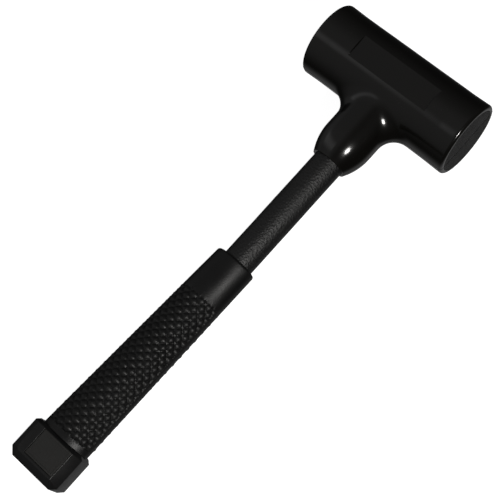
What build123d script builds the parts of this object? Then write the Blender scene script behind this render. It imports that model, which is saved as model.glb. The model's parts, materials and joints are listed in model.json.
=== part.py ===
from build123d import *
import math
import os

# No-rebound rubber mallet for setting pavers, kerbs, slabs and formwork.
#
# A steel canister, part filled with loose steel shot, sits inside a moulded rubber
# jacket and gives the head its weight.  A steel tube runs from a socket under the
# canister to the butt.  It carries a rubber shaft sleeve, a rubber grip and a butt block.
#
# Tool frame, in millimetres: the origin is on the head's axis, half way along it.
# X runs along the head from face to face, Y runs up the handle towards the head,
# and Z points out of the front of the tool.  The finished tool is laid down at the end.

# Joints between pieces
BOND = 0.05                    # radial gap of a bonded or pressed joint
PIN_FIT = 0.05                 # radial gap round the socket pin

# Head jacket
HEAD_LENGTH = 117.0
HEAD_DIAMETER = 52.0
HEAD_RIM_SWELL = 0.4           # how far the barrel's two ends stand out from its middle
HEAD_RIM_LENGTH = 14.0         # how much of each end the swell takes up
HEAD_EDGE_ROUND = 2.2
NECK_DIAMETER = 35.6
NECK_SWEEP_RADIUS = 13.5       # the hollow curve between the neck and the barrel
NECK_SHOULDER_DROP = 53.5      # from the head's axis to where the neck starts to taper
NECK_SHOULDER_ROUND = 11.0
NECK_MOUTH_DROP = 67.0         # from the head's axis to the neck's mouth
NECK_MOUTH_WALL = 1.8

# Label flat, one on the front and one on the back of the barrel
LABEL_LENGTH = 62.0
LABEL_WIDTH = 17.0             # across the flat, where it runs out into the barrel
LABEL_LEAN = 2.0               # how far it leans towards the handle, in degrees

# Striking faces
FACE_DIAMETER = 46.0
FACE_THICKNESS = 9.0
FACE_EDGE_BREAK = 0.5
SPIGOT_CLEARANCE = 0.2

# Canister
CANISTER_DIAMETER = 42.0
CANISTER_WALL = 1.5
CAP_PLATE = 2.0
CAP_SKIRT = 6.0
CAP_SKIRT_WALL = 1.2

# Steel shot
SHOT_DIAMETER = 8.0
SHOT_SPACING = 0.05            # gap between neighbouring balls
SHOT_WALL_GAP = 0.3            # gap between the outer balls and the canister
SHOT_TRAVEL = 6.0              # how far the charge slides each way from the middle
SHOT_FILL_HEIGHT = 5.0         # highest ball centre above the canister's axis

# Handle
CORE_DIAMETER = 16.0
CORE_WALL = 1.5
CORE_TO_CANISTER = 0.3
SOCKET_DIAMETER = 22.0
SOCKET_END_DROP = 48.0         # from the head's axis to the socket's open end
PIN_DIAMETER = 4.0
PIN_WALL = 0.8
PIN_SLOT = 1.2
PIN_DROP = 36.0                # from the head's axis to the pin
PIN_END_INSET = 0.3            # how far the pin's ends stop short of the socket's side
SLEEVE_DIAMETER = 21.4

# Grip: an oval section that flares to one side, towards the butt.  Its rubber is given
# over the shaft sleeve, to each side and to the front and back.
GRIP_TOP_DROP = 154.0
GRIP_TOP_SIDE_WALL = 3.9
GRIP_TOP_FACE_WALL = 2.8
GRIP_TOP_OFFSET = -0.9
GRIP_END_DROP = 306.0
GRIP_END_SIDE_WALL = 7.1
GRIP_END_FACE_WALL = 3.1
GRIP_END_OFFSET = -5.75
GRIP_MOUTH_ROUND = 1.8

# Butt block
BUTT_LENGTH = 27.8
BUTT_LEFT_STEP = 2.65          # how far the block stands out from the grip's side
BUTT_RIGHT_STEP = 1.3
BUTT_FACE_WALL = 3.8           # rubber between the shaft sleeve and the block's front
BUTT_LEFT_CORNER = 4.4         # the two cut corners at the end, seen from the front
BUTT_RIGHT_CORNER = 3.4
BUTT_BEVEL = 5.2               # round the front and back faces
BUTT_TOP_BEVEL = 2.2           # next to the grip
PLUG_FLANGE = 1.5
PLUG_STEM = 12.0
BUTT_END_WALL = 7.0

# Badge plates, one on the front and one on the back of the butt block
BADGE_WIDTH = 23.4
BADGE_LENGTH = 18.8
BADGE_OFFSET = -4.0
BADGE_TOP_MARGIN = 2.2         # from the block's grip end to the badge
BADGE_THICKNESS = 1.2
BADGE_INSET = 0.5              # how far the badge lies below the block's surface
BADGE_GAP = 0.1

# Sizes that follow from the ones above
HEAD_RADIUS = HEAD_DIAMETER / 2
HEAD_RIM_RADIUS = HEAD_RADIUS + HEAD_RIM_SWELL
CANISTER_RADIUS = CANISTER_DIAMETER / 2
CANISTER_LENGTH = HEAD_LENGTH - 2 * FACE_THICKNESS
CANISTER_BORE_RADIUS = CANISTER_RADIUS - CANISTER_WALL
CAP_RADIUS = CANISTER_BORE_RADIUS - BOND
CORE_RADIUS = CORE_DIAMETER / 2
CORE_TOP_DROP = CANISTER_RADIUS + CORE_TO_CANISTER
SLEEVE_RADIUS = SLEEVE_DIAMETER / 2
GRIP_TOP_WIDTH = SLEEVE_DIAMETER + 2 * GRIP_TOP_SIDE_WALL
GRIP_TOP_THICKNESS = SLEEVE_DIAMETER + 2 * GRIP_TOP_FACE_WALL
GRIP_END_WIDTH = SLEEVE_DIAMETER + 2 * GRIP_END_SIDE_WALL
GRIP_END_THICKNESS = SLEEVE_DIAMETER + 2 * GRIP_END_FACE_WALL
BUTT_LEFT = GRIP_END_OFFSET - GRIP_END_WIDTH / 2 - BUTT_LEFT_STEP
BUTT_RIGHT = GRIP_END_OFFSET + GRIP_END_WIDTH / 2 + BUTT_RIGHT_STEP
BUTT_THICKNESS = SLEEVE_DIAMETER + 2 * BUTT_FACE_WALL
BUTT_END_DROP = GRIP_END_DROP + BUTT_LENGTH
PLUG_END_DROP = BUTT_END_DROP - BUTT_END_WALL
CORE_END_DROP = PLUG_END_DROP - PLUG_FLANGE


def x_cylinder(radius, start, end):
    """A cylinder along the head's axis, from x = start to x = end."""
    return Location(((start + end) / 2, 0, 0)) * Cylinder(radius, end - start, rotation=(0, 90, 0))


def y_cylinder(radius, upper_drop, lower_drop):
    """A cylinder along the handle's axis, between two drops below the head's axis."""
    middle = -(upper_drop + lower_drop) / 2
    return Location((0, middle, 0)) * Cylinder(radius, lower_drop - upper_drop, rotation=(90, 0, 0))


def x_tube(outer_radius, inner_radius, start, end):
    return x_cylinder(outer_radius, start, end) - x_cylinder(inner_radius, start, end)


def y_tube(outer_radius, inner_radius, upper_drop, lower_drop):
    return y_cylinder(outer_radius, upper_drop, lower_drop) - y_cylinder(inner_radius, upper_drop, lower_drop)


def both_ways(shape):
    """The shape and its mirror image in the plane half way along the head."""
    return shape, shape.mirror(Plane.YZ)


# ---------------------------------------------------------------- head jacket

def neck_blank():
    """The neck's outside, turned about the handle's axis: a round stub that tapers to its mouth."""
    mouth_radius = SLEEVE_RADIUS + NECK_MOUTH_WALL
    outline = Polyline(
        (0, 0),
        (NECK_DIAMETER / 2, 0),
        (NECK_DIAMETER / 2, -NECK_SHOULDER_DROP),
        (mouth_radius, -NECK_MOUTH_DROP),
        (0, -NECK_MOUTH_DROP),
        close=True,
    )
    profile = make_face(outline)
    shoulder = profile.vertices().sort_by_distance((NECK_DIAMETER / 2, -NECK_SHOULDER_DROP))[0]
    profile = fillet(shoulder, NECK_SHOULDER_ROUND)
    return revolve(profile, Axis.Y)


def barrel_blank():
    """The barrel's outside, turned about the head's axis: it swells a little to its rounded ends."""
    end = HEAD_LENGTH / 2
    swell_start = end - HEAD_RIM_LENGTH
    outline = Polyline(
        (-end, 0),
        (-end, HEAD_RIM_RADIUS),
        (-swell_start, HEAD_RADIUS),
        (swell_start, HEAD_RADIUS),
        (end, HEAD_RIM_RADIUS),
        (end, 0),
        close=True,
    )
    profile = make_face(outline)
    rims = [corner for corner in profile.vertices() if corner.Y > HEAD_RADIUS + HEAD_RIM_SWELL / 2]
    return revolve(fillet(rims, HEAD_EDGE_ROUND), Axis.X)


def label_flat():
    """The slab that the front label flat takes off the barrel's crest."""
    floor = math.sqrt(HEAD_RADIUS ** 2 - (LABEL_WIDTH / 2) ** 2)
    slab = Box(LABEL_LENGTH, HEAD_DIAMETER, HEAD_RADIUS)
    return Rot(LABEL_LEAN, 0, 0) * Location((0, 0, floor + HEAD_RADIUS / 2)) * slab


def head_jacket():
    """The rubber moulding round the canister, with the neck that grips the handle."""
    blank = barrel_blank() + neck_blank()
    neck_side = NECK_DIAMETER / 2 + 1
    junction = [
        edge for edge in blank.edges()
        if abs(edge.center().X) < neck_side
        and -HEAD_RADIUS - 1 < edge.center().Y < 0
        and edge.bounding_box().size.Z > 1
    ]
    blank = fillet(junction, NECK_SWEEP_RADIUS)
    half_canister = CANISTER_LENGTH / 2
    blank -= x_cylinder(CANISTER_RADIUS + BOND, -half_canister, half_canister)
    for pocket in both_ways(x_cylinder(FACE_DIAMETER / 2 + BOND, half_canister, HEAD_LENGTH)):
        blank -= pocket
    blank -= y_cylinder(SOCKET_DIAMETER / 2 + BOND, 0, SOCKET_END_DROP)
    blank -= y_cylinder(SLEEVE_RADIUS + BOND, SOCKET_END_DROP, NECK_MOUTH_DROP + 1)
    flat = label_flat()
    return blank - flat - flat.mirror(Plane.XY)


# ------------------------------------------------------------- striking faces

def striking_face():
    """The face disc at the +X end, with a spigot that fills the hollow of the canister cap."""
    back = HEAD_LENGTH / 2 - FACE_THICKNESS
    disc = x_cylinder(FACE_DIAMETER / 2, back, HEAD_LENGTH / 2)
    outer_rim = disc.edges().filter_by(GeomType.CIRCLE).sort_by(Axis.X)[-1]
    disc = chamfer(outer_rim, FACE_EDGE_BREAK)
    spigot_radius = CAP_RADIUS - CAP_SKIRT_WALL - SPIGOT_CLEARANCE
    spigot_start = back - CAP_SKIRT + CAP_PLATE
    return disc + x_cylinder(spigot_radius, spigot_start, back)


# ------------------------------------------------------------------- canister

def canister_tube():
    return x_tube(CANISTER_RADIUS, CANISTER_BORE_RADIUS, -CANISTER_LENGTH / 2, CANISTER_LENGTH / 2)


def canister_cap():
    """The pressed cup that closes the +X end of the tube, its skirt turned outwards."""
    mouth = CANISTER_LENGTH / 2
    plate = mouth - CAP_SKIRT
    cup = x_cylinder(CAP_RADIUS, plate, mouth)
    return cup - x_cylinder(CAP_RADIUS - CAP_SKIRT_WALL, plate + CAP_PLATE, mouth)


def steel_shot():
    """The loose charge: close-packed balls piled in the lower half of the canister."""
    pitch_radius = (SHOT_DIAMETER + SHOT_SPACING) / 2
    reach = CANISTER_BORE_RADIUS - SHOT_WALL_GAP - SHOT_DIAMETER / 2
    room = CANISTER_LENGTH - 2 * (CAP_SKIRT + SHOT_TRAVEL + SHOT_WALL_GAP)
    row_pitch = math.sqrt(3) * pitch_radius
    layer_pitch = 2 * math.sqrt(6) / 3 * pitch_radius
    layers = int((reach + SHOT_FILL_HEIGHT) / layer_pitch) + 1
    rows_each_side = int(reach / row_pitch) + 1
    balls = []
    for layer in range(layers):
        height = -reach + layer * layer_pitch
        for row in range(-rows_each_side, rows_each_side + 1):
            across = row_pitch * (row + (layer % 2) / 3)
            if math.hypot(across, height) > reach + 0.001:
                continue
            shift = (row + layer) % 2 * pitch_radius
            half_count = int((room / 2 - SHOT_DIAMETER / 2 - shift) / (2 * pitch_radius))
            first = -half_count if shift == 0 else -half_count - 1
            for step in range(first, half_count + 1):
                along = 2 * pitch_radius * step + shift
                balls.append(Location((along, across, height)) * Sphere(SHOT_DIAMETER / 2))
    return Compound(balls)


# --------------------------------------------------------------------- handle

def pin_hole():
    """The cross hole that the socket and the core share, from front to back."""
    hole = Cylinder(PIN_DIAMETER / 2 + PIN_FIT, 2 * SOCKET_DIAMETER)
    return Location((0, -PIN_DROP, 0)) * hole


def handle_socket():
    """The steel collar welded under the canister, its top cut to the canister's curve."""
    collar = y_tube(SOCKET_DIAMETER / 2, CORE_RADIUS + BOND, 0, SOCKET_END_DROP)
    saddle = x_cylinder(CANISTER_RADIUS + BOND, -SOCKET_DIAMETER, SOCKET_DIAMETER)
    return collar - saddle - pin_hole()


def socket_pin():
    """A slotted spring pin that locks the core in the socket."""
    half_chord = math.sqrt((SOCKET_DIAMETER / 2) ** 2 - (PIN_DIAMETER / 2) ** 2)
    length = 2 * (half_chord - PIN_END_INSET)
    pin = Cylinder(PIN_DIAMETER / 2, length) - Cylinder(PIN_DIAMETER / 2 - PIN_WALL, length)
    slot = Location((0, PIN_DIAMETER / 2, 0)) * Box(PIN_SLOT, PIN_DIAMETER, length)
    return Location((0, -PIN_DROP, 0)) * (pin - slot)


def handle_core():
    """The steel tube that carries the load from the grip to the head."""
    return y_tube(CORE_RADIUS, CORE_RADIUS - CORE_WALL, CORE_TOP_DROP, CORE_END_DROP) - pin_hole()


def core_end_plug():
    """The plastic plug that closes the butt end of the core and the sleeve."""
    flange = y_cylinder(SLEEVE_RADIUS, CORE_END_DROP, PLUG_END_DROP)
    stem_radius = CORE_RADIUS - CORE_WALL - BOND
    return flange + y_cylinder(stem_radius, CORE_END_DROP - PLUG_STEM, CORE_END_DROP)


def shaft_sleeve():
    """The rubber tube over the core, from the socket to the end plug."""
    return y_tube(SLEEVE_RADIUS, CORE_RADIUS + BOND, SOCKET_END_DROP, CORE_END_DROP)


# ----------------------------------------------------------- grip and butt block

def grip_section(drop, offset, width, thickness):
    """An oval across the handle at a drop below the head's axis."""
    plane = Plane(origin=(offset, -drop, 0), x_dir=(1, 0, 0), z_dir=(0, -1, 0))
    return plane * Ellipse(width / 2, thickness / 2)


def grip_sleeve():
    """The rubber grip, lofted between its two ovals and bored for the shaft sleeve."""
    top = grip_section(GRIP_TOP_DROP, GRIP_TOP_OFFSET, GRIP_TOP_WIDTH, GRIP_TOP_THICKNESS)
    end = grip_section(GRIP_END_DROP, GRIP_END_OFFSET, GRIP_END_WIDTH, GRIP_END_THICKNESS)
    body = loft([top, end])
    mouth = body.edges().sort_by(Axis.Y)[-1]
    body = fillet(mouth, GRIP_MOUTH_ROUND)
    return body - y_cylinder(SLEEVE_RADIUS + BOND, GRIP_TOP_DROP - 1, GRIP_END_DROP + 1)


def butt_outline():
    """The block seen from the front: square next to the grip, cut corners at the end."""
    return Polyline(
        (BUTT_LEFT, -GRIP_END_DROP),
        (BUTT_RIGHT, -GRIP_END_DROP),
        (BUTT_RIGHT, BUTT_RIGHT_CORNER - BUTT_END_DROP),
        (BUTT_RIGHT - BUTT_RIGHT_CORNER, -BUTT_END_DROP),
        (BUTT_LEFT + BUTT_LEFT_CORNER, -BUTT_END_DROP),
        (BUTT_LEFT, BUTT_LEFT_CORNER - BUTT_END_DROP),
        close=True,
    )


def badge_pocket():
    """The front pocket that takes a badge plate, open at the block's front face."""
    depth = BADGE_THICKNESS + BADGE_INSET
    middle = -(GRIP_END_DROP + BADGE_TOP_MARGIN + BADGE_LENGTH / 2)
    pocket = Box(BADGE_WIDTH, BADGE_LENGTH, depth)
    return Location((BADGE_OFFSET, middle, BUTT_THICKNESS / 2 - depth / 2)) * pocket


def butt_badge():
    """The plain badge plate in the front pocket."""
    middle = -(GRIP_END_DROP + BADGE_TOP_MARGIN + BADGE_LENGTH / 2)
    plate = Box(BADGE_WIDTH - 2 * BADGE_GAP, BADGE_LENGTH - 2 * BADGE_GAP, BADGE_THICKNESS)
    height = BUTT_THICKNESS / 2 - BADGE_INSET - BADGE_THICKNESS / 2
    return Location((BADGE_OFFSET, middle, height)) * plate


def butt_cap():
    """The squared block that closes the handle, bevelled round its front and back."""
    half = BUTT_THICKNESS / 2
    block = extrude(make_face(butt_outline()), half, both=True)
    perimeter = [edge for edge in block.edges() if abs(abs(edge.center().Z) - half) < 0.001]
    next_to_grip = [edge for edge in perimeter if abs(edge.center().Y + GRIP_END_DROP) < 0.001]
    others = [edge for edge in perimeter if edge not in next_to_grip]
    block = chamfer(others, BUTT_BEVEL)
    rim = [edge for edge in block.edges() if abs(edge.center().Y + GRIP_END_DROP) < 0.001]
    block = chamfer(rim, BUTT_TOP_BEVEL)
    block -= y_cylinder(SLEEVE_RADIUS + BOND, GRIP_END_DROP - 1, PLUG_END_DROP)
    pocket = badge_pocket()
    return block - pocket - pocket.mirror(Plane.XY)


# ------------------------------------------------------------------- assembly

def lay_down(pieces):
    """Lay the tool on its back, on the barrel and the butt block, with its box centred.

    The barrel rests on its two swollen ends and the block on the far edge of its flat back,
    so the handle slopes down a little from the head to the butt.
    """
    reach = BUTT_END_DROP - BUTT_BEVEL
    half = BUTT_THICKNESS / 2
    barrel_radius = -pieces["head_jacket"].bounding_box().min.Z
    slope = math.asin(barrel_radius / math.hypot(reach, half)) - math.atan2(half, reach)
    turned = {name: piece.rotate(Axis.X, math.degrees(slope)) for name, piece in pieces.items()}
    box = Compound(list(turned.values())).bounding_box()
    shift = Location((0, -box.center().Y, -box.min.Z))
    return {name: shift * piece for name, piece in turned.items()}


def build():
    """Every piece of the mallet by name, in the tool frame."""
    face_right, face_left = both_ways(striking_face())
    cap_right, cap_left = both_ways(canister_cap())
    badge_front = butt_badge()
    return {
        "head_jacket": head_jacket(),
        "striking_face_left": face_left,
        "striking_face_right": face_right,
        "canister_tube": canister_tube(),
        "canister_cap_left": cap_left,
        "canister_cap_right": cap_right,
        "steel_shot": steel_shot(),
        "handle_socket": handle_socket(),
        "socket_pin": socket_pin(),
        "handle_core": handle_core(),
        "core_end_plug": core_end_plug(),
        "shaft_sleeve": shaft_sleeve(),
        "grip_sleeve": grip_sleeve(),
        "butt_cap": butt_cap(),
        "butt_badge_front": badge_front,
        "butt_badge_back": badge_front.mirror(Plane.XY),
    }


os.makedirs("parts", exist_ok=True)
for node, shape in lay_down(build()).items():
    export_step(shape, f"parts/{node}.step")
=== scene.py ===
"""No-rebound rubber mallet: detailed meshes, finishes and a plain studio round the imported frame.

Pieces are modelled in the tool's own axes, in metres: X runs along the head from face to
face, Y runs up the handle towards the head, Z points out of the tool's front, and the origin
is the middle of the head.  ToolAxes then lays each finished mesh down in the row frame.
"""
import json
import logging
import math
from collections.abc import Callable, Iterable, Sequence
from dataclasses import dataclass
from enum import Enum

import bmesh
import bpy
from bmesh.types import BMEdge, BMesh, BMVert
from bpy.types import Material, Node, NodeOutputs, NodeSocket, NodeTree, Object
from mathutils import Matrix, Vector, noise


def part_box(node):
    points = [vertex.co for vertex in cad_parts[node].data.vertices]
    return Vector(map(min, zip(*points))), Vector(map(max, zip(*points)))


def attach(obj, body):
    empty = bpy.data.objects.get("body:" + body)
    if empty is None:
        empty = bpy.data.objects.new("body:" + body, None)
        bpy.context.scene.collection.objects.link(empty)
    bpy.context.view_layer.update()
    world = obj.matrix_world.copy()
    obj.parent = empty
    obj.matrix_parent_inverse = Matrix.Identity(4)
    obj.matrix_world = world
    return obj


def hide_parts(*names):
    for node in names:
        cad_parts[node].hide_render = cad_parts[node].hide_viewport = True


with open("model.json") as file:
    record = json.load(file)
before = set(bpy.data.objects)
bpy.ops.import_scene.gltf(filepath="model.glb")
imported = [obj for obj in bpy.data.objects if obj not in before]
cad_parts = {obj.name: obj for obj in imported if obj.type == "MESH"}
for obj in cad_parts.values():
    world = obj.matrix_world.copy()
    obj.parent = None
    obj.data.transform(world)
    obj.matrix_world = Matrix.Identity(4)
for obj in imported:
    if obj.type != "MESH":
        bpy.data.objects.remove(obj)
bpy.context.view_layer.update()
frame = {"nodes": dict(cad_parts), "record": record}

MM = 0.001
MERGE_DISTANCE = 0.002 * MM
BODY = "mallet"
Colour = tuple[float, float, float]
LOG = logging.getLogger("mallet")


# -------------------- axes and small helpers

@dataclass(frozen=True)
class ToolAxes:
    """Where the tool's own axes lie in the row frame."""

    to_row: Matrix

    @classmethod
    def from_frame(cls) -> "ToolAxes":
        """Find the head's middle and the handle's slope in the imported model.

        Returns:
            The axes.
        """
        low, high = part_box("striking_face_right")
        centre = (low + high) / 2
        mounts = frame["record"]["mounts"]
        down = Vector(next(m["axis"] for m in mounts if m["name"] == "shaft_clip_zone"))
        slope = math.atan2(-down.z, -down.y)
        return cls(Matrix.Translation((0, centre.y, centre.z)) @ Matrix.Rotation(slope, 4, "X"))

    def box(self, node: str) -> tuple[Vector, Vector]:
        """Measure a CAD node along the tool's own axes.

        Args:
            node: The CAD node's name.

        Returns:
            Its lowest and highest corners.
        """
        back = self.to_row.inverted()
        points = [back @ v.co for v in frame["nodes"][node].data.vertices]
        low = Vector(min(p[i] for p in points) for i in range(3))
        high = Vector(max(p[i] for p in points) for i in range(3))
        return low, high


class Side(Enum):
    """Which end or face of the tool a paired piece belongs to."""

    PLUS = 1.0
    MINUS = -1.0


def spaced(start: float, end: float, step: float) -> list[float]:
    """Spread values from start up to, and not including, end.

    Args:
        start: The first value.
        end: Where the next stretch begins.
        step: The spacing aimed at.

    Returns:
        Evenly spaced values, the first of them start.
    """
    count = max(1, round(abs(end - start) / step))
    return [start + (end - start) * i / count for i in range(count)]


def arc(centre: tuple[float, float], radius: float, start: float, end: float,
        steps: int) -> list[tuple[float, float]]:
    """Points along a round corner of a profile.

    Args:
        centre: The corner's centre.
        radius: Its radius.
        start: The first point's angle, in degrees from the profile's first axis.
        end: The last point's angle.
        steps: How many spans the arc has.

    Returns:
        Steps + 1 points.
    """
    turns = [math.radians(start + (end - start) * i / steps) for i in range(steps + 1)]
    return [(centre[0] + radius * math.cos(t), centre[1] + radius * math.sin(t)) for t in turns]


def smooth_step(value: float) -> float:
    """Ease a value from 0 to 1."""
    t = min(max(value, 0.0), 1.0)
    return t * t * (3 - 2 * t)


def profile_edges(bm: BMesh, points: Sequence[Vector], closed: bool) -> list[BMVert | BMEdge]:
    """Draw a chain of edges to spin.

    Args:
        bm: The mesh being built.
        points: The chain's points, in order.
        closed: Whether its last point joins its first.

    Returns:
        The chain's vertices and edges.
    """
    verts = [bm.verts.new(p) for p in points]
    ends = verts[1:] + (verts[:1] if closed else [])
    return verts + [bm.edges.new(pair) for pair in zip(verts, ends)]


def turn_profile(bm: BMesh, points: Sequence[Vector], axis: Vector,
                 sections: Iterable[tuple[float, int]], closed: bool) -> None:
    """Spin a profile through a full turn, one section after another.

    Args:
        bm: The mesh being built.
        points: The profile's points.
        axis: The axis through the origin that it turns about.
        sections: Each section's angle in degrees and its number of steps, a full turn in all.
        closed: Whether the profile is a closed loop.
    """
    chain = profile_edges(bm, points, closed)
    for angle, steps in sections:
        made = bmesh.ops.spin(bm, geom=chain, cent=Vector(), axis=axis, dvec=Vector(),
                              angle=math.radians(angle), steps=steps, use_merge=False,
                              use_duplicate=False)
        chain = made["geom_last"]
    bmesh.ops.remove_doubles(bm, verts=bm.verts[:], dist=MERGE_DISTANCE)


def move_verts(bm: BMesh, shape: Callable[[Vector, Vector], Vector]) -> None:
    """Move every vertex by a formula.

    Args:
        bm: The mesh being built.
        shape: Gives a vertex's new place from its old place and its normal.
    """
    bm.normal_update()
    places = [shape(v.co.copy(), v.normal.copy()) for v in bm.verts]
    for vert, place in zip(bm.verts, places):
        vert.co = place


def ripple(place: Vector, wavelength: float, depth: float) -> float:
    """A gentle unevenness of a moulded surface at a place."""
    return depth * noise.noise(place / wavelength)


@dataclass(frozen=True)
class PieceMaker:
    """Turns finished bmeshes into pieces of the object."""

    axes: ToolAxes
    sharp_angle: float = 38.0

    def make(self, bm: BMesh, name: str, finish: "Finish", nodes: Sequence[str]) -> Object:
        """Lay a mesh down in the row frame and make it a piece.

        Args:
            bm: The finished mesh, in the tool's axes.  It is freed.
            name: The piece's name.
            finish: What it is made of.
            nodes: The CAD nodes that it stands for.

        Returns:
            The piece.
        """
        bmesh.ops.remove_doubles(bm, verts=bm.verts[:], dist=MERGE_DISTANCE)
        bmesh.ops.recalc_face_normals(bm, faces=bm.faces[:])
        open_edges = sum(not edge.is_manifold for edge in bm.edges)
        bm.transform(self.axes.to_row)
        mesh = bpy.data.meshes.new(name)
        bm.to_mesh(mesh)
        bm.free()
        mesh.shade_smooth()
        mesh.set_sharp_from_angle(angle=math.radians(self.sharp_angle))
        piece = bpy.data.objects.new(name, mesh)
        bpy.context.scene.collection.objects.link(piece)
        mesh.materials.append(finish.material())
        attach(piece, BODY)
        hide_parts(*nodes)
        triangles = sum(len(face.vertices) - 2 for face in mesh.polygons)
        LOG.info("%s: %d triangles, %d open edges", name, triangles, open_edges)
        return piece


# -------------------- finishes

class NodeSheet:
    """A node tree that is being filled in."""

    def __init__(self, tree: NodeTree) -> None:
        """Start filling a tree."""
        self.tree = tree

    def add(self, kind: str, inputs: dict[str | int, object] | None = None,
            **settings: object) -> Node:
        """Add a node.

        Args:
            kind: The node's type.
            inputs: A value, or a socket to link from, for each input that isn't left as it is.
            settings: The node's own properties.

        Returns:
            The new node.
        """
        node = self.tree.nodes.new(kind)
        for key, value in settings.items():
            setattr(node, key, value)
        for key, value in (inputs or {}).items():
            if isinstance(value, NodeSocket):
                self.tree.links.new(value, node.inputs[key])
            else:
                node.inputs[key].default_value = value
        return node

    def group(self, tree: NodeTree, inputs: dict[str, object]) -> NodeOutputs:
        """Place a node group and return its outputs."""
        return self.add("ShaderNodeGroup", inputs, node_tree=tree).outputs

    def math(self, operation: str, first: object, second: object = 0.0) -> NodeSocket:
        """Add one sum and return its result."""
        node = self.add("ShaderNodeMath", {0: first, 1: second}, operation=operation)
        return node.outputs[0]

    def remap(self, value: object, low: float, high: float, to_low: float,
              to_high: float) -> NodeSocket:
        """Map a range of values to another, clamped.

        Args:
            value: The socket to map.
            low: The start of its range.
            high: The end of its range.
            to_low: What the start becomes.
            to_high: What the end becomes.

        Returns:
            The mapped value.
        """
        node = self.add("ShaderNodeMapRange", {"Value": value, "From Min": low, "From Max": high,
                                               "To Min": to_low, "To Max": to_high})
        return node.outputs["Result"]

    def noise(self, vector: object, scale: object, detail: float = 2.0,
              roughness: float = 0.5) -> NodeSocket:
        """Add plain noise and return its value."""
        node = self.add("ShaderNodeTexNoise", {"Vector": vector, "Scale": scale, "Detail": detail,
                                               "Roughness": roughness})
        return node.outputs["Fac"]


def node_group(name: str, inputs: dict[str, float], outputs: Sequence[str],
               fill: Callable[[NodeSheet, Node], dict[str, object]]) -> NodeTree:
    """Build a shader node group once, and find it again afterwards.

    Args:
        name: The group's name.
        inputs: Its number inputs with their usual values, after one called Vector.
        outputs: The names of its number outputs.
        fill: Draws the inside and returns the socket for each output.

    Returns:
        The group.
    """
    if name in bpy.data.node_groups:
        return bpy.data.node_groups[name]
    tree = bpy.data.node_groups.new(name, "ShaderNodeTree")
    tree.interface.new_socket("Vector", in_out="INPUT", socket_type="NodeSocketVector")
    for label, usual in inputs.items():
        socket = tree.interface.new_socket(label, in_out="INPUT", socket_type="NodeSocketFloat")
        socket.default_value = usual
    for label in outputs:
        tree.interface.new_socket(label, in_out="OUTPUT", socket_type="NodeSocketFloat")
    sheet = NodeSheet(tree)
    start = sheet.add("NodeGroupInput")
    sheet.add("NodeGroupOutput", fill(sheet, start))
    return tree


def moulded_grain() -> NodeTree:
    """The grain of moulded rubber or plastic: coarse pimples, fine sand and slow waves.

    Returns:
        A group that puts out a height from 0 to about 1.
    """

    def fill(sheet: NodeSheet, start: Node) -> dict[str, object]:
        """Draw the grain's nodes between the group's inputs and its height."""
        vector = start.outputs["Vector"]
        pimples = sheet.add("ShaderNodeTexVoronoi", {
            "Vector": vector, "Scale": start.outputs["Pimple Scale"], "Randomness": 1.0},
            feature="SMOOTH_F1")
        domes = sheet.remap(pimples.outputs["Distance"], 0.1, 0.6, 1.0, 0.0)
        coarse = sheet.math("MULTIPLY", domes, start.outputs["Pimples"])
        sand = sheet.noise(vector, start.outputs["Sand Scale"], 3.0, 0.6)
        fine = sheet.math("MULTIPLY", sand, start.outputs["Sand"])
        wave = sheet.noise(vector, start.outputs["Wave Scale"], 1.0)
        slow = sheet.math("MULTIPLY", wave, start.outputs["Waves"])
        height = sheet.math("ADD", sheet.math("ADD", coarse, fine), slow)
        return {"Height": height}

    inputs = {"Pimple Scale": 900.0, "Pimples": 0.5, "Sand Scale": 4000.0, "Sand": 0.5,
              "Wave Scale": 60.0, "Waves": 0.0}
    return node_group("moulded_grain", inputs, ["Height"], fill)


def handling_marks() -> NodeTree:
    """Smudges, dust and fine scuffs.

    Returns:
        A group that puts out three masks, from 0, clean, to 1, marked.
    """

    def fill(sheet: NodeSheet, start: Node) -> dict[str, object]:
        """Draw the marks' nodes between the group's inputs and its masks."""
        vector = start.outputs["Vector"]
        cloud = sheet.noise(vector, start.outputs["Smudge Scale"], 4.0, 0.6)
        smudge = sheet.remap(cloud, 0.35, 0.72, 0.0, 1.0)
        specks = sheet.add("ShaderNodeTexVoronoi", {
            "Vector": vector, "Scale": start.outputs["Speck Scale"], "Randomness": 1.0})
        patches = sheet.noise(vector, 45.0, 2.0)
        near = sheet.remap(specks.outputs["Distance"], 0.05, 0.16, 1.0, 0.0)
        dust = sheet.math("MULTIPLY", near, sheet.remap(patches, 0.48, 0.7, 0.0, 1.0))
        stretch = sheet.add("ShaderNodeMapping", {
            "Vector": vector, "Rotation": (0.3, 0.5, 0.7), "Scale": (1.0, 0.06, 0.4)})
        streaks = sheet.noise(stretch.outputs["Vector"], start.outputs["Scuff Scale"], 5.0, 0.75)
        scuff = sheet.math("MULTIPLY", sheet.remap(streaks, 0.62, 0.74, 0.0, 1.0),
                           sheet.remap(patches, 0.5, 0.62, 0.0, 1.0))
        return {"Smudge": smudge, "Dust": dust, "Scuff": scuff}

    inputs = {"Smudge Scale": 28.0, "Speck Scale": 700.0, "Scuff Scale": 900.0}
    return node_group("handling_marks", inputs, ["Smudge", "Dust", "Scuff"], fill)


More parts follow.
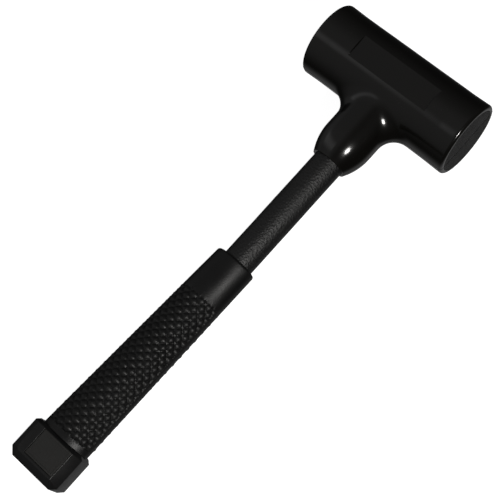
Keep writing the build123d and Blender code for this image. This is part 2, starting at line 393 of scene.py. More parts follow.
def edge_wear() -> NodeTree:
    """Raised edges that handling has rubbed, broken up by noise.

    Returns:
        A group that puts out a mask, 1 on a worn edge.
    """

    def fill(sheet: NodeSheet, start: Node) -> dict[str, object]:
        """Draw the mask's nodes between the group's inputs and its mask."""
        geometry = sheet.add("ShaderNodeNewGeometry")
        ridge = sheet.remap(geometry.outputs["Pointiness"], 0.505, 0.56, 0.0, 1.0)
        broken = sheet.noise(start.outputs["Vector"], start.outputs["Break Scale"], 4.0, 0.7)
        kept = sheet.remap(broken, 0.3, 0.65, 0.15, 1.0)
        mask = sheet.math("MULTIPLY", sheet.math("MULTIPLY", ridge, kept), start.outputs["Amount"])
        return {"Mask": mask}

    return node_group("edge_wear", {"Break Scale": 300.0, "Amount": 0.6}, ["Mask"], fill)


@dataclass(frozen=True)
class Finish:
    """What a piece is made of.  Each kind of stuff draws its own nodes."""

    slot: str
    colour: Colour
    worn_colour: Colour
    roughness: float
    roughness_swing: float = 0.08

    def material(self) -> Material:
        """Make this finish's material, or find it if another piece has it already.

        Returns:
            The material.
        """
        name = f"{self.slot}_finish"
        if name in bpy.data.materials:
            return bpy.data.materials[name]
        material = bpy.data.materials.new(name)
        material.use_nodes = True
        material.node_tree.nodes.clear()
        sheet = NodeSheet(material.node_tree)
        place = sheet.add("ShaderNodeTexCoord").outputs["Object"]
        shader = sheet.add("ShaderNodeBsdfPrincipled")
        self.dress(sheet, place, shader)
        sheet.add("ShaderNodeOutputMaterial", {"Surface": shader.outputs["BSDF"]})
        return material

    def dress(self, sheet: NodeSheet, place: NodeSocket, shader: Node) -> None:
        """Draw the finish's nodes and link them to the shader.

        Args:
            sheet: The material's nodes.
            place: The object coordinates.
            shader: The Principled shader.
        """
        raise NotImplementedError

    def gloss(self, sheet: NodeSheet, mask: object, low: float, high: float) -> NodeSocket:
        """Turn a mask's range into the finish's spread of roughness."""
        return sheet.remap(mask, low, high, self.roughness - self.roughness_swing,
                           self.roughness + self.roughness_swing)

    def blend_colours(self, sheet: NodeSheet, masks: Sequence[tuple[object, Colour]]) -> object:
        """Lay colours over the base colour, one mask after another.

        Args:
            sheet: The material's nodes.
            masks: Each mask and its colour.

        Returns:
            The socket of the last mix.
        """
        below: object = (*self.colour, 1.0)
        for mask, colour in masks:
            mix = sheet.add("ShaderNodeMix", {0: mask, 6: below, 7: (*colour, 1.0)},
                            data_type="RGBA")
            below = mix.outputs[2]
        return below


@dataclass(frozen=True)
class Rubber(Finish):
    """Moulded black rubber, from glossy skin to sandy matte."""

    specular: float = 0.5
    pimple_size: float = 1.1 * MM
    pimples: float = 0.0
    sand_size: float = 0.25 * MM
    sand: float = 0.3
    waves: float = 0.0
    relief: float = 0.06 * MM
    dust_colour: Colour = (0.05, 0.048, 0.044)

    def dress(self, sheet: NodeSheet, place: NodeSocket, shader: Node) -> None:
        """Draw rubber: tinted black, smudged gloss, moulded grain and scuffed edges.

        Args:
            sheet: The material's nodes.
            place: The object coordinates.
            shader: The Principled shader.
        """
        marks = sheet.group(handling_marks(), {"Vector": place})
        edges = sheet.group(edge_wear(), {"Vector": place})
        grain = sheet.group(moulded_grain(), {
            "Vector": place, "Pimple Scale": 1 / self.pimple_size, "Pimples": self.pimples,
            "Sand Scale": 1 / self.sand_size, "Sand": self.sand, "Waves": self.waves})
        cloud = sheet.remap(sheet.noise(place, 22.0, 3.0), 0.3, 0.7, 0.0, 0.6)
        worn = sheet.math("MAXIMUM", edges["Mask"], sheet.math("MULTIPLY", marks["Scuff"], 0.5))
        dust = sheet.math("MULTIPLY", marks["Dust"], 0.5)
        hazy = tuple(0.6 * a + 0.4 * b for a, b in zip(self.colour, self.worn_colour))
        masks = [(cloud, hazy), (worn, self.worn_colour), (dust, self.dust_colour)]
        sheet.tree.links.new(self.blend_colours(sheet, masks), shader.inputs["Base Color"])
        haze = self.gloss(sheet, marks["Smudge"], 0.0, 1.0)
        sheet.tree.links.new(sheet.math("ADD", haze, sheet.math("MULTIPLY", worn, 0.1)),
                             shader.inputs["Roughness"])
        shader.inputs["Specular IOR Level"].default_value = self.specular
        bump = sheet.add("ShaderNodeBump", {"Height": grain["Height"], "Distance": self.relief,
                                            "Strength": 1.0})
        sheet.tree.links.new(bump.outputs["Normal"], shader.inputs["Normal"])


@dataclass(frozen=True)
class Steel(Finish):
    """Bright or blackened steel with the marks of how it was drawn or rolled."""

    draw_direction: tuple[float, float, float] = (0.02, 1.0, 1.0)
    relief: float = 0.02 * MM

    def dress(self, sheet: NodeSheet, place: NodeSocket, shader: Node) -> None:
        """Draw steel: drawn lines along one direction, a thin film of oil and dull spots.

        Args:
            sheet: The material's nodes.
            place: The object coordinates.
            shader: The Principled shader.
        """
        marks = sheet.group(handling_marks(), {"Vector": place, "Smudge Scale": 60.0})
        stretched = sheet.add("ShaderNodeMapping", {"Vector": place, "Scale": self.draw_direction})
        lines = sheet.noise(stretched.outputs["Vector"], 3500.0, 3.0, 0.7)
        dull = sheet.math("MULTIPLY", marks["Smudge"], 0.7)
        sheet.tree.links.new(self.blend_colours(sheet, [(dull, self.worn_colour)]),
                             shader.inputs["Base Color"])
        sheet.tree.links.new(self.gloss(sheet, lines, 0.3, 0.7), shader.inputs["Roughness"])
        shader.inputs["Metallic"].default_value = 1.0
        bump = sheet.add("ShaderNodeBump", {"Height": lines, "Distance": self.relief})
        sheet.tree.links.new(bump.outputs["Normal"], shader.inputs["Normal"])


GLOSS_RUBBER = Rubber("gloss_black_rubber", (0.0032, 0.0030, 0.0025), (0.009, 0.008, 0.007), 0.16,
                      0.05, sand=0.05, waves=0.6, relief=0.03 * MM)
FACE_RUBBER = Rubber("face_rubber", (0.0055, 0.0055, 0.0055), (0.018, 0.018, 0.017), 0.6,
                     pimple_size=1.0 * MM, pimples=0.8, sand_size=0.6 * MM, sand=1.0,
                     relief=0.6 * MM)
SHAFT_RUBBER = Rubber("shaft_rubber", (0.0028, 0.0028, 0.0030), (0.010, 0.010, 0.010), 0.5,
                      pimple_size=1.2 * MM, pimples=1.0, sand=0.6, relief=0.16 * MM)
GRIP_RUBBER = Rubber("grip_rubber", (0.0026, 0.0026, 0.0027), (0.009, 0.009, 0.009), 0.46,
                     specular=0.35, pimple_size=0.7 * MM, pimples=0.5, sand=0.6)
BUTT_RUBBER = Rubber("butt_rubber", (0.0036, 0.0036, 0.0038), (0.012, 0.012, 0.012), 0.38,
                     specular=0.4, sand=0.6)
BADGE_PLASTIC = Rubber("badge_plastic", (0.0085, 0.0083, 0.0076), (0.024, 0.023, 0.021), 0.55,
                       pimple_size=0.5 * MM, pimples=0.4, sand=0.8, relief=0.08 * MM)
BLACK_PLASTIC = Rubber("black_plastic", (0.01, 0.01, 0.01), (0.03, 0.03, 0.03), 0.4,
                       sand=0.4, relief=0.04 * MM)
CANISTER_STEEL = Steel("canister_steel", (0.52, 0.51, 0.49), (0.33, 0.31, 0.28), 0.34)
SHOT_STEEL = Steel("shot_steel", (0.36, 0.35, 0.34), (0.2, 0.18, 0.16), 0.38, 0.12,
                   draw_direction=(1.0, 1.0, 1.0))
HANDLE_STEEL = Steel("handle_steel", (0.48, 0.48, 0.47), (0.3, 0.29, 0.27), 0.3, 0.08,
                     draw_direction=(1.0, 0.02, 1.0))
PIN_STEEL = Steel("pin_steel", (0.18, 0.18, 0.19), (0.1, 0.1, 0.1), 0.3, 0.06,
                  draw_direction=(1.0, 1.0, 0.02))

INNER_NODES = {
    "canister_tube": CANISTER_STEEL,
    "canister_cap_left": CANISTER_STEEL,
    "canister_cap_right": CANISTER_STEEL,
    "steel_shot": SHOT_STEEL,
    "handle_socket": HANDLE_STEEL,
    "handle_core": HANDLE_STEEL,
    "socket_pin": PIN_STEEL,
    "core_end_plug": BLACK_PLASTIC,
}


# -------------------- head

@dataclass
class Head:
    """The moulded jacket with its neck, and the two striking faces."""

    maker: PieceMaker
    barrel_radius: float = 26.0 * MM
    rim_swell: float = 0.4 * MM
    rim_length: float = 14.0 * MM
    ripple_length: float = 17.0 * MM
    ripple_depth: float = 0.05 * MM
    edge_round: float = 2.2 * MM
    seat_edge: float = 0.25 * MM
    bond: float = 0.05 * MM
    face_thickness: float = 9.0 * MM
    canister_radius: float = 21.0 * MM
    neck_radius: float = 17.8 * MM
    sweep_radius: float = 13.5 * MM
    shoulder_drop: float = 47.5 * MM
    mouth_wall: float = 1.8 * MM
    mouth_round: float = 0.45 * MM
    socket_radius: float = 11.0 * MM
    socket_drop: float = 48.0 * MM
    label_reach: float = 31.0 * MM
    label_width: float = 17.0 * MM
    label_lean: float = 2.0
    label_border: float = 0.9 * MM
    label_border_turn: float = 0.9
    label_step: float = 0.15 * MM
    patch_reach: float = 36.0 * MM
    patch_turn: float = 62.0
    flash_height: float = 0.12 * MM
    flash_width: float = 0.22 * MM
    spigot_radius: float = 18.05 * MM
    face_edge: float = 0.5 * MM
    groove_reach: float = 0.9 * MM
    groove_depth: float = 0.65 * MM
    groove_lines: tuple[float, ...] = (-1.0, -0.85, 0.85, 1.0)

    def __post_init__(self) -> None:
        """Read the sizes that the frame gives."""
        axes = self.maker.axes
        low, high = axes.box("head_jacket")
        self.end = high.x
        self.mouth_drop = -low.y
        self.face_radius = axes.box("striking_face_right")[1].y
        self.face_back = axes.box("striking_face_right")[0].x
        self.sleeve_radius = axes.box("shaft_sleeve")[1].x
        self.bore = self.canister_radius + self.bond
        self.label_floor = math.sqrt(self.barrel_radius ** 2 - (self.label_width / 2) ** 2)

    def outside(self, along: float) -> float:
        """The barrel's outer radius at a place along it, without the rounded rims."""
        into_rim = abs(along) - (self.end - self.rim_length)
        return self.barrel_radius + self.rim_swell * max(0.0, into_rim) / self.rim_length

    def patch_lines(self) -> list[float]:
        """Places along the barrel for its lines of faces, closest at the label's end.

        Returns:
            Places from the barrel's middle to where the neck's patch ends.
        """
        start, stop = self.label_reach - self.label_border, self.label_reach + self.label_border
        return (spaced(0, start, 2.0 * MM) + spaced(start, stop, self.label_step)
                + spaced(stop, self.patch_reach, 1.4 * MM) + [self.patch_reach])

    def half_profile(self) -> list[tuple[float, float]]:
        """The jacket's wall, from the middle of its outside round the end to its bore's middle.

        Returns:
            Places along the barrel and their radii.
        """
        lines = self.patch_lines()
        rim_x = self.end - self.edge_round
        tilt = math.degrees(math.atan2(self.rim_swell, self.rim_length))
        rim_radius = self.outside(rim_x) - self.edge_round
        past_patch = spaced(self.patch_reach, rim_x, 1.5 * MM)[1:]
        outer = [(x, self.outside(x)) for x in lines + past_patch]
        rim = arc((rim_x, rim_radius), self.edge_round, 90 + tilt, 0, 12)
        seat = self.face_radius + self.bond
        lip = arc((self.end - self.seat_edge, seat + self.seat_edge), self.seat_edge, 0, -90, 3)
        back = self.end - self.face_thickness
        inner = [(back, seat), (back, self.bore)]
        inner += [(x, self.bore) for x in reversed(lines)]
        return outer + rim + lip + inner

    def turn_sections(self) -> list[tuple[float, int]]:
        """The barrel's steps round its axis: fine at the parting line and the label's edges.

        Returns:
            Each section's angle in degrees and its number of steps.
        """
        half_label = math.degrees(math.asin(self.label_width / 2 / self.barrel_radius))
        label_middle = 90 - self.label_lean
        stops = [0.0, 1.0, self.patch_turn]
        for edge in (label_middle - half_label, label_middle + half_label):
            stops += [edge - self.label_border_turn, edge + self.label_border_turn]
        stops += [179.0, 180.0]
        steps = [3, 22, 3, 6, 17, 6, 30, 3]
        forward = [(b - a, n) for a, b, n in zip(stops, stops[1:], steps)]
        return forward + forward[::-1]

    def neck_profile(self) -> list[tuple[float, float]]:
        """The neck from the start of its shoulder to its mouth and up its bore.

        Returns:
            Radii and heights along the handle's axis.
        """
        mouth_radius = self.sleeve_radius + self.mouth_wall
        drop, narrowing = self.mouth_drop - self.shoulder_drop, self.neck_radius - mouth_radius
        shoulder_round = (drop ** 2 + narrowing ** 2) / (2 * narrowing)
        taper = math.asin(drop / shoulder_round)
        centre = (self.neck_radius - shoulder_round, -self.shoulder_drop)
        shoulder = arc(centre, shoulder_round, 0, -math.degrees(taper) * 0.93, 14)
        lip_y = self.mouth_round - self.mouth_drop
        lip_radius = mouth_radius - self.mouth_round + (lip_y + self.mouth_drop) * math.tan(taper)
        bottom = arc((lip_radius, lip_y), self.mouth_round, -math.degrees(taper) / 2, -90, 4)
        bore = self.sleeve_radius + self.bond
        socket = self.socket_radius + self.bond
        inner = [(bore + 0.2 * MM, -self.mouth_drop), (bore, 0.2 * MM - self.mouth_drop),
                 (bore, -self.socket_drop), (socket, -self.socket_drop)]
        return shoulder + bottom + inner

    def neck_section(self, along: float, turn: float) -> list[Vector]:
        """One cut through the neck, from an edge of the barrel's patch to the canister bore.

        Args:
            along: Where the cut starts along the barrel.
            turn: Where it starts round the barrel, in degrees from its underside.

        Returns:
            The cut's points after the first, the last of them on the bore.
        """
        angle = math.atan2(turn / self.patch_turn, along / self.patch_reach)
        out = Vector((math.cos(angle), 0, math.sin(angle)))
        reach = self.barrel_radius + self.sweep_radius
        ball = out * (self.neck_radius + self.sweep_radius)
        ball.y = -math.sqrt(reach ** 2 - ball.z ** 2)
        on_barrel = Vector((ball.x, ball.y * self.barrel_radius / reach,
                            ball.z * self.barrel_radius / reach))
        on_neck = out * self.neck_radius + Vector((0, ball.y, 0))

        def over(radius: float, end_x: float, end_turn: float, share: float) -> Vector:
            """A point on a round wall, a share of the way from the cut's start to its end."""
            x = along + (end_x - along) * share
            t = math.radians(turn + (end_turn - turn) * share)
            return Vector((x, -radius * math.cos(t), radius * math.sin(t)))

        contact_turn = math.degrees(math.atan2(on_barrel.z, -on_barrel.y))
        points = [over(self.barrel_radius, on_barrel.x, contact_turn, i / 5) for i in range(1, 6)]
        from_barrel, from_neck = on_barrel - ball, on_neck - ball
        points += [ball + from_barrel.slerp(from_neck, i / 16) * self.sweep_radius
                   for i in range(1, 17)]
        profile = self.neck_profile()
        top = profile[0][1]
        points += [out * self.neck_radius + Vector((0, ball.y + (top - ball.y) * i / 7, 0))
                   for i in range(1, 7)]
        points += [out * radius + Vector((0, y, 0)) for radius, y in profile]
        socket = profile[-1][0]
        meet = -math.sqrt(self.bore ** 2 - (socket * out.z) ** 2)
        points += [out * socket + Vector((0, meet * i / 3 - self.socket_drop * (1 - i / 3), 0))
                   for i in range(1, 4)]
        meet_turn = math.degrees(math.asin(socket * out.z / self.bore))
        points += [over(self.bore, socket * out.x, meet_turn, 1 - i / 4) for i in range(1, 5)]
        return points

    def grow_neck(self, bm: BMesh) -> None:
        """Open a patch in both walls under the barrel and join them through the neck.

        Args:
            bm: The barrel's mesh.
        """
        patch = []
        for face in bm.faces:
            centre = face.calc_center_median()
            turn = math.degrees(math.atan2(abs(centre.z), -centre.y))
            if abs(centre.x) < self.patch_reach and turn < self.patch_turn:
                patch.append(face)
        bmesh.ops.delete(bm, geom=patch, context="FACES")
        column = bm.verts.layers.int.new("column")
        middle_radius = (self.barrel_radius + self.bore) / 2
        ring = [e for e in bm.edges if e.is_boundary and e.verts[0].co.yz.length > middle_radius]
        sections = []
        for vert in {v for edge in ring for v in edge.verts}:
            vert[column] = len(sections)
            turn = math.degrees(math.atan2(vert.co.z, -vert.co.y))
            sections.append(self.neck_section(vert.co.x, turn))
        for row in range(len(sections[0])):
            made = bmesh.ops.extrude_edge_only(bm, edges=ring)["geom"]
            fresh = {item for item in made if isinstance(item, BMVert)}
            for vert in fresh:
                vert.co = sections[vert[column]][row]
            ring = [item for item in made
                    if isinstance(item, BMEdge) and fresh.issuperset(item.verts)]
        bmesh.ops.remove_doubles(bm, verts=bm.verts[:], dist=MERGE_DISTANCE)

    def finish_outside(self, place: Vector, normal: Vector) -> Vector:
        """Cut the label flats, raise the mould's flash line and add a slight unevenness.

        Args:
            place: A vertex's place.
            normal: Its outward normal.

        Returns:
            Its new place.
        """
        from_handle = math.hypot(place.x, place.z)
        on_barrel = place.yz.length > self.bore + 1 * MM and abs(place.x) < self.end - 0.3 * MM
        on_neck = place.y < -self.bore and from_handle > self.sleeve_radius + self.bond + 1 * MM
        if not (on_barrel or on_neck):
            return place
        lean = math.radians(self.label_lean)
        up = Vector((0, -math.sin(lean), math.copysign(math.cos(lean), place.z)))
        over_floor = place.dot(up) - self.label_floor
        in_label = smooth_step((self.label_reach - abs(place.x)) / self.label_step + 0.5)
        if over_floor > 0 and in_label > 0:
            return place - up * over_floor * in_label
        flash = self.flash_height * max(0.0, 1 - abs(place.z) / self.flash_width)
        return place + normal * (flash + ripple(place, self.ripple_length, self.ripple_depth))

    def jacket(self) -> Object:
        """Build the rubber moulding round the canister.

        Returns:
            The piece.
        """
        half = self.half_profile()
        mirrored = [(-x, radius) for x, radius in reversed(half[1:-1])]
        loop = [Vector((x, -radius, 0)) for x, radius in half + mirrored]
        bm = bmesh.new()
        turn_profile(bm, loop, Vector((-1, 0, 0)), self.turn_sections(), closed=True)
        self.grow_neck(bm)
        bmesh.ops.recalc_face_normals(bm, faces=bm.faces[:])
        move_verts(bm, self.finish_outside)
        return self.maker.make(bm, "rubber_jacket", GLOSS_RUBBER, ["head_jacket"])

    def striking_face(self, side: Side) -> Object:
        """Build one face disc, with the parting groove across it and the spigot behind it.

        Args:
            side: Which end of the head it closes.

        Returns:
            The piece.
        """
        back = self.end - self.face_thickness
        rings = spaced(0.0, self.face_radius - self.face_edge, 2.2 * MM)
        edge = arc((self.end - self.face_edge, self.face_radius - self.face_edge),
                   self.face_edge, 0, 90, 4)
        side_wall = [(back + 0.1 * MM, self.face_radius), (back, self.face_radius - 0.1 * MM)]
        spigot = [(back, self.spigot_radius), (self.face_back + 0.3 * MM, self.spigot_radius),
                  (self.face_back, self.spigot_radius - 0.3 * MM), (self.face_back, 0.0)]
        outline = [(self.end, radius) for radius in rings] + edge + side_wall + spigot
        bm = bmesh.new()
        points = [Vector((side.value * x, -radius, 0)) for x, radius in outline]
        turn_profile(bm, points, Vector((-1, 0, 0)), [(360.0, 128)], closed=False)
        for share in self.groove_lines:
            bmesh.ops.bisect_plane(bm, geom=bm.verts[:] + bm.edges[:] + bm.faces[:],
                                   plane_co=Vector((0, 0, share * self.groove_reach)),
                                   plane_no=Vector((0, 0, 1)), dist=MERGE_DISTANCE)

        def groove(place: Vector, _normal: Vector) -> Vector:
            """Sink the strip across the outer face, and leave the rest where it is."""
            outer = abs(place.x) > self.end - 0.01 * MM
            if outer and abs(place.z) < 0.9 * self.groove_reach:
                return place - Vector((side.value * self.groove_depth, 0, 0))
            return place

        move_verts(bm, groove)
        end = "right" if side is Side.PLUS else "left"
        return self.maker.make(bm, f"face_disc_{end}", FACE_RUBBER, [f"striking_face_{end}"])


# -------------------- handle

@dataclass
class Handle:
    """The shaft's rubber tube and the diamond grip."""

    maker: PieceMaker
    bond: float = 0.05 * MM
    lip: float = 1.8 * MM
    nominal_radius: float = 20.0 * MM
    steps_round: int = 256
    row_height: float = 0.42 * MM
    pitch: float = 4.75 * MM
    tip_height: float = 0.5 * MM
    groove_depth: float = 0.65 * MM
    pattern_top: float = 185.8 * MM
    pattern_end: float = 301.8 * MM
    first_crossing: float = 188.05 * MM
    lean: float = 0.021
    upright_at: float = 261.0 * MM
    plain_strip: float = 5.0 * MM
    flash_height: float = 0.1 * MM
    flash_width: float = 0.4 * MM
    sleeve_ease: float = 0.25 * MM

    def __post_init__(self) -> None:
        """Read the sizes that the frame gives."""
        axes = self.maker.axes
        low, high = axes.box("grip_sleeve")
        self.top, self.end = high.y, low.y
        self.sleeve_box = axes.box("shaft_sleeve")
        self.sleeve_radius = self.sleeve_box[1].x
        self.core_radius = axes.box("handle_core")[1].x
        self.ovals = [self.oval_at(self.top, 3 * MM), self.oval_at(self.end, 0.5 * MM)]

    def oval_at(self, height: float, band: float) -> tuple[float, float, float]:
        """Measure the CAD grip near a height.

        Args:
            height: Where to measure it.
            band: How far above and below its vertices count.

        Returns:
            Its middle, half width and half thickness.
        """
        back = self.maker.axes.to_row.inverted()
        places = [back @ v.co for v in frame["nodes"]["grip_sleeve"].data.vertices]
        near = [p for p in places if abs(p.y - height) < band]
        low, high = min(p.x for p in near), max(p.x for p in near)
        return (low + high) / 2, (high - low) / 2, max(p.z for p in near)

    def oval(self, height: float) -> tuple[float, float, float]:
        """Find the grip's oval at a height.

        Args:
            height: The height along the handle.

        Returns:
            Its middle, half width and half thickness.
        """
        share = (height - self.top) / (self.end - self.top)
        first, last = self.ovals
        return tuple(a + (b - a) * share for a, b in zip(first, last))

    def shaft_tube(self) -> Object:
        """Build the rubber tube over the steel core, its skin a little pimpled.

        Returns:
            The piece.
        """
        low, high = self.sleeve_box
        outer, inner = self.sleeve_radius, self.core_radius + self.bond
        ease = self.sleeve_ease
        walls = spaced(high.y - ease, low.y + ease, 0.9 * MM)
        profile = [(inner, high.y), (outer - ease, high.y)] + [(outer, y) for y in walls]
        profile += [(outer, low.y + ease), (outer - ease, low.y), (inner, low.y)]
        bm = bmesh.new()
        turn_profile(bm, [Vector((r, y, 0)) for r, y in profile], Vector((0, 1, 0)),
                     [(360.0, 84)], closed=True)

        def pimpled(place: Vector, normal: Vector) -> Vector:
            """Roughen the outside with small pimples on a slow wave."""
            if place.xz.length < outer - 0.01 * MM:
                return place
            skin = ripple(place, 1.3 * MM, 0.035 * MM) + ripple(place, 24 * MM, 0.05 * MM)
            return place + normal * (skin - 0.02 * MM)

        bmesh.ops.recalc_face_normals(bm, faces=bm.faces[:])
        move_verts(bm, pimpled)
        return self.maker.make(bm, "shaft_tube", SHAFT_RUBBER, ["shaft_sleeve"])

    def diamond(self, across: float, height: float, edge: float) -> float:
        """How far the grip's skin stands out of its plain surface.

        Args:
            across: The distance round the grip from the middle of its front or back.
            height: The height along the handle.
            edge: The distance round the grip from its middle to the parting line.

        Returns:
            The relief, negative in a groove.
        """
        inside = min(height + self.pattern_end, -self.pattern_top - height,
                     edge - self.plain_strip - abs(across))
        if inside < 0:
            return 0.0
        along = height + self.first_crossing
        beside = across - self.lean * (height + self.upright_at)
        first = (beside + along) / math.sqrt(2) / self.pitch % 1 * 2 - 1
        second = (beside - along) / math.sqrt(2) / self.pitch % 1 * 2 - 1
        from_tip = (abs(first) ** 4 + abs(second) ** 4) ** 0.25 / 0.97
        stud = max(0.0, 1 - from_tip ** 1.6) ** 0.72
        wall = smooth_step(inside / (0.5 * MM))
        return wall * (stud * (self.groove_depth + self.tip_height) - self.groove_depth)

    def grip(self) -> Object:
        """Build the grip: an oval sleeve that flares to one side, with rows of diamonds.

        Returns:
            The piece.
        """
        nominal = self.nominal_radius
        bore = self.sleeve_radius + self.bond
        lip = [(nominal - self.lip * (1 - math.sin(t)), self.top - self.lip * (1 - math.cos(t)))
               for t in (math.radians(90 * i / 6) for i in range(7))]
        plain = spaced(lip[-1][1], -self.pattern_top, 2.0 * MM)[1:]
        fine_rows = spaced(-self.pattern_top, -self.pattern_end, self.row_height)
        rest = spaced(-self.pattern_end, self.end, 1.5 * MM) + [self.end]
        profile = [(bore, self.top)] + lip + [(nominal, y) for y in plain + fine_rows + rest]
        profile.append((bore, self.end))
        bm = bmesh.new()
        turn_profile(bm, [Vector((0, y, r)) for r, y in profile], Vector((0, 1, 0)),
                     [(360.0, self.steps_round)], closed=True)

        def shape(place: Vector, _normal: Vector) -> Vector:
            """Lay the round sleeve's outside on the grip's oval and raise its diamonds."""
            radius = place.xz.length
            if radius < bore + 0.01 * MM:
                return place
            middle, wide, thick = self.oval(place.y)
            turn = math.atan2(place.x, place.z)
            sine, cosine = math.sin(turn), math.cos(turn)
            around = Vector((wide * sine, 0, thick * cosine))
            normal = Vector((sine / wide, 0, cosine / thick)).normalized()
            mean = (wide + thick) / 2
            from_middle = math.asin(sine)
            relief = self.diamond(from_middle * mean, place.y, math.pi / 2 * mean)
            flash = self.flash_height * max(0.0, 1 - abs(around.z) / self.flash_width)
            sink = radius - nominal
            wave = ripple(place, 30 * MM, 0.06 * MM)
            return Vector((middle, place.y, 0)) + around + normal * (relief + sink + flash + wave)

        move_verts(bm, shape)
        return self.maker.make(bm, "diamond_grip", GRIP_RUBBER, ["grip_sleeve"])


# -------------------- butt end

@dataclass
class ButtEnd:
    """The squared block and its two badge plates."""

    maker: PieceMaker
    edge_round: float = 1.0 * MM
    cad_bevel_end: tuple[float, float] = (8.0 * MM, 11.0 * MM)
    right_bevel_end: float = 7.2 * MM
    plate_round: float = 0.35 * MM
    plate_border: float = 1.6 * MM
    plate_field: float = 0.18 * MM

    def block(self) -> Object:
        """Steepen the CAD block's right front bevel and round its edges, as a mould leaves them.

        Returns:
            The piece.
        """
        bm = bmesh.new()
        bm.from_mesh(frame["nodes"]["butt_cap"].data)
        bm.transform(self.maker.axes.to_row.inverted())
        bmesh.ops.remove_doubles(bm, verts=bm.verts[:], dist=MERGE_DISTANCE)
        bmesh.ops.dissolve_limit(bm, angle_limit=math.radians(1.0), verts=bm.verts[:],
                                 edges=bm.edges[:], use_dissolve_boundaries=False)
        bore = self.maker.axes.box("shaft_sleeve")[1].x + 1 * MM
        right = max(v.co.x for v in bm.verts)
        lowest, highest = self.cad_bevel_end
        for vert in bm.verts:
            if vert.co.x > right - 0.5 * MM and lowest < vert.co.z < highest:
                vert.co.z = self.right_bevel_end
        edges = [e for e in bm.edges if e.is_manifold
                 and e.calc_face_angle() > math.radians(20)
                 and all(v.co.xz.length > bore for v in e.verts)]
        bmesh.ops.bevel(bm, geom=edges, offset=self.edge_round, offset_type="OFFSET",
                        affect="EDGES", segments=4, profile=0.5, material=-1, clamp_overlap=True)
        return self.maker.make(bm, "butt_block", BUTT_RUBBER, ["butt_cap"])

    def badge(self, side: Side) -> Object:
        """Build one plain plate: a rounded slab with a slightly sunk matte field.

        Args:
            side: The front or the back of the block.

        Returns:
            The piece.
        """
        where = "front" if side is Side.PLUS else "back"
        low, high = self.maker.axes.box(f"butt_badge_{where}")
        size = high - low
        bm = bmesh.new()
        bmesh.ops.create_cube(bm, size=1.0)
        bmesh.ops.scale(bm, vec=size, verts=bm.verts[:])
        bmesh.ops.translate(bm, vec=(low + high) / 2, verts=bm.verts[:])
        face = max(bm.faces, key=lambda f: side.value * f.calc_center_median().z)
        corners = [e for e in bm.edges if abs(e.verts[0].co.z - e.verts[1].co.z) > size.z / 2]
        outer = list(face.edges)
        bmesh.ops.bevel(bm, geom=outer + corners, offset=self.plate_round, offset_type="OFFSET",
                        affect="EDGES", segments=4, profile=0.5, material=-1, clamp_overlap=True)
        face = max(bm.faces, key=lambda f: (side.value * f.calc_center_median().z, f.calc_area()))
        bmesh.ops.inset_region(bm, faces=[face], thickness=self.plate_border, depth=0.0)
        bmesh.ops.inset_region(bm, faces=[face], thickness=self.plate_field,
                               depth=-self.plate_field)
        return self.maker.make(bm, f"badge_plate_{where}", BADGE_PLASTIC, [f"butt_badge_{where}"])


# -------------------- studio

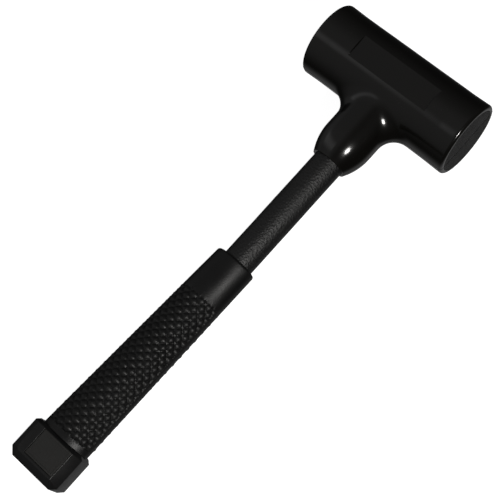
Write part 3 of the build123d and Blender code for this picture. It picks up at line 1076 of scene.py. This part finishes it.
@dataclass
class Studio:
    """The camera, the pale floor and the soft lights."""

    axes: ToolAxes
    azimuth: float = 17.60
    elevation: float = -7.94
    roll: float = 42.16
    distance: float = 0.750
    target: tuple[float, float, float] = (0.00007, -0.14249, 0.0)
    sensor: float = 36.0
    lens: float = 85.51
    lamp_toward: tuple[float, float, float] = (0.67, -0.18, 0.72)
    lamp_aim: tuple[float, float, float] = (0.0, -0.12, 0.0)
    lamp_distance: float = 1.5
    lamp_size: tuple[float, float] = (0.26, 0.30)
    lamp_power: float = 15.0
    lamp_colour: Colour = (1.0, 0.985, 0.96)
    floor_size: float = 6.0
    floor_glow: float = 0.95
    dim: float = 0.018
    sky: float = 0.05
    panel: float = 0.15
    window: float = 0.35
    window_turn: float = 27.0
    side_window: float = 0.05
    table: float = 0.2

    def camera(self) -> None:
        """Place the camera at its viewing angle round the tool."""
        azimuth, elevation = math.radians(self.azimuth), math.radians(self.elevation)
        back = Vector((math.sin(azimuth) * math.cos(elevation), math.sin(elevation),
                       math.cos(azimuth) * math.cos(elevation)))
        right = Vector((0, 1, 0)).cross(back).normalized()
        up = back.cross(right)
        roll = Matrix.Rotation(math.radians(self.roll), 3, back)
        right, up = roll @ right, roll @ up
        pose = Matrix((right, up, back)).transposed().to_4x4()
        pose.translation = Vector(self.target) + back * self.distance
        data = bpy.data.cameras.new("camera")
        data.sensor_width = self.sensor
        data.lens = self.lens
        data.clip_start = 0.05
        data.clip_end = 50.0
        camera = bpy.data.objects.new("camera", data)
        camera.matrix_world = self.axes.to_row @ pose
        bpy.context.scene.collection.objects.link(camera)
        bpy.context.scene.camera = camera

    def lamp(self) -> None:
        """Add the one soft lamp that throws highlights, at the upper right."""
        data = bpy.data.lights.new("key", "AREA")
        data.shape = "RECTANGLE"
        data.size, data.size_y = self.lamp_size
        data.energy = self.lamp_power
        data.color = self.lamp_colour
        light = bpy.data.objects.new("key", data)
        direction = Vector(self.lamp_toward).normalized()
        turned = direction.to_track_quat("Z", "Y").to_matrix().to_4x4()
        turned.translation = Vector(self.lamp_aim) + direction * self.lamp_distance
        light.matrix_world = self.axes.to_row @ turned
        bpy.context.scene.collection.objects.link(light)

    def floor(self) -> None:
        """Lay the pale floor under the tool, lit so evenly that it hardly shades."""
        bm = bmesh.new()
        bmesh.ops.create_grid(bm, x_segments=1, y_segments=1, size=self.floor_size / 2)
        mesh = bpy.data.meshes.new("floor")
        bm.to_mesh(mesh)
        bm.free()
        floor = bpy.data.objects.new("floor", mesh)
        floor.location.z = -0.0002
        bpy.context.scene.collection.objects.link(floor)
        material = bpy.data.materials.new("floor")
        material.use_nodes = True
        shader = material.node_tree.nodes["Principled BSDF"]
        shader.inputs["Base Color"].default_value = (0.5, 0.5, 0.5, 1.0)
        shader.inputs["Roughness"].default_value = 0.9
        shader.inputs["Specular IOR Level"].default_value = 0.1
        shader.inputs["Emission Color"].default_value = (1.0, 1.0, 1.0, 1.0)
        shader.inputs["Emission Strength"].default_value = self.floor_glow
        mesh.materials.append(material)
        floor.visible_glossy = False
        floor.visible_diffuse = False

    def surroundings(self) -> None:
        """Make the room: a soft panel to the left, a narrow window over the handle, a lit table."""
        world = bpy.data.worlds.new("room")
        world.use_nodes = True
        world.node_tree.nodes.clear()
        sheet = NodeSheet(world.node_tree)
        toward = sheet.add("ShaderNodeTexCoord").outputs["Generated"]
        split = sheet.add("ShaderNodeSeparateXYZ", {"Vector": toward})
        across, along, height = split.outputs["X"], split.outputs["Y"], split.outputs["Z"]

        def soft(value: object, dark: float, bright: float, strength: float) -> NodeSocket:
            """Fade in a glow between two values, up to a strength."""
            node = sheet.add("ShaderNodeMapRange", {"Value": value, "From Min": dark,
                                                    "From Max": bright, "To Max": strength},
                             interpolation_type="SMOOTHSTEP")
            return node.outputs["Result"]

        turn = math.radians(self.window_turn)
        dot = sheet.add("ShaderNodeVectorMath",
                        {0: toward, 1: (0.0, math.cos(turn), math.sin(turn))},
                        operation="DOT_PRODUCT")
        off_window = sheet.math("ABSOLUTE", dot.outputs["Value"])
        panel = sheet.math("MULTIPLY", soft(across, 0.25, -0.30, self.panel),
                           soft(along, 0.95, 0.0, 1.0))
        panel = sheet.math("MULTIPLY", panel, soft(height, -0.6, 0.25, 1.0))
        window = sheet.math("MULTIPLY", soft(off_window, 0.22, 0.03, self.window),
                            soft(across, -0.245, -0.285, 1.0))
        window = sheet.math("MULTIPLY", window, soft(height, 0.1, 0.3, 1.0))
        aside = sheet.math("SUBTRACT", 0.0, across)
        side = soft(aside, 0.90, 0.98, self.side_window)
        spread = sheet.math("ADD", soft(across, -0.6, -0.35, 1.0), soft(across, 0.0, 0.45, 0.6))
        table = sheet.math("MULTIPLY", soft(height, -0.55, -0.9, self.table), spread)
        sky = sheet.math("ADD", soft(height, -0.1, 0.7, self.sky), self.dim)
        strength = sheet.add("ShaderNodeLightPath").outputs["Is Camera Ray"]
        for glow in (panel, window, table, sky, side):
            strength = sheet.math("ADD", strength, glow)
        background = sheet.add("ShaderNodeBackground", {"Color": (1.0, 1.0, 1.0, 1.0),
                                                        "Strength": strength})
        sheet.add("ShaderNodeOutputWorld", {"Surface": background.outputs["Background"]})
        bpy.context.scene.world = world
        bpy.context.scene.view_settings.view_transform = "Standard"


# -------------------- assembly

def dress_inner_nodes() -> None:
    """Give the CAD pieces that stay, all of them inside, their finishes."""
    for node, finish in INNER_NODES.items():
        mesh_object = frame["nodes"][node]
        for slot in mesh_object.material_slots:
            slot.material = finish.material()
        LOG.info("%s: CAD mesh with %s", node, finish.slot)


def main() -> None:
    """Build every piece, dress it and set up the studio."""
    logging.basicConfig(level=logging.INFO, format="%(name)s: %(message)s")
    axes = ToolAxes.from_frame()
    maker = PieceMaker(axes)
    studio = Studio(axes)
    studio.camera()
    studio.floor()
    studio.lamp()
    studio.surroundings()
    head = Head(maker)
    head.jacket()
    handle = Handle(maker)
    handle.shaft_tube()
    handle.grip()
    butt = ButtEnd(maker)
    butt.block()
    for side in Side:
        head.striking_face(side)
        butt.badge(side)
    dress_inner_nodes()


if __name__ == "__main__":
    main()
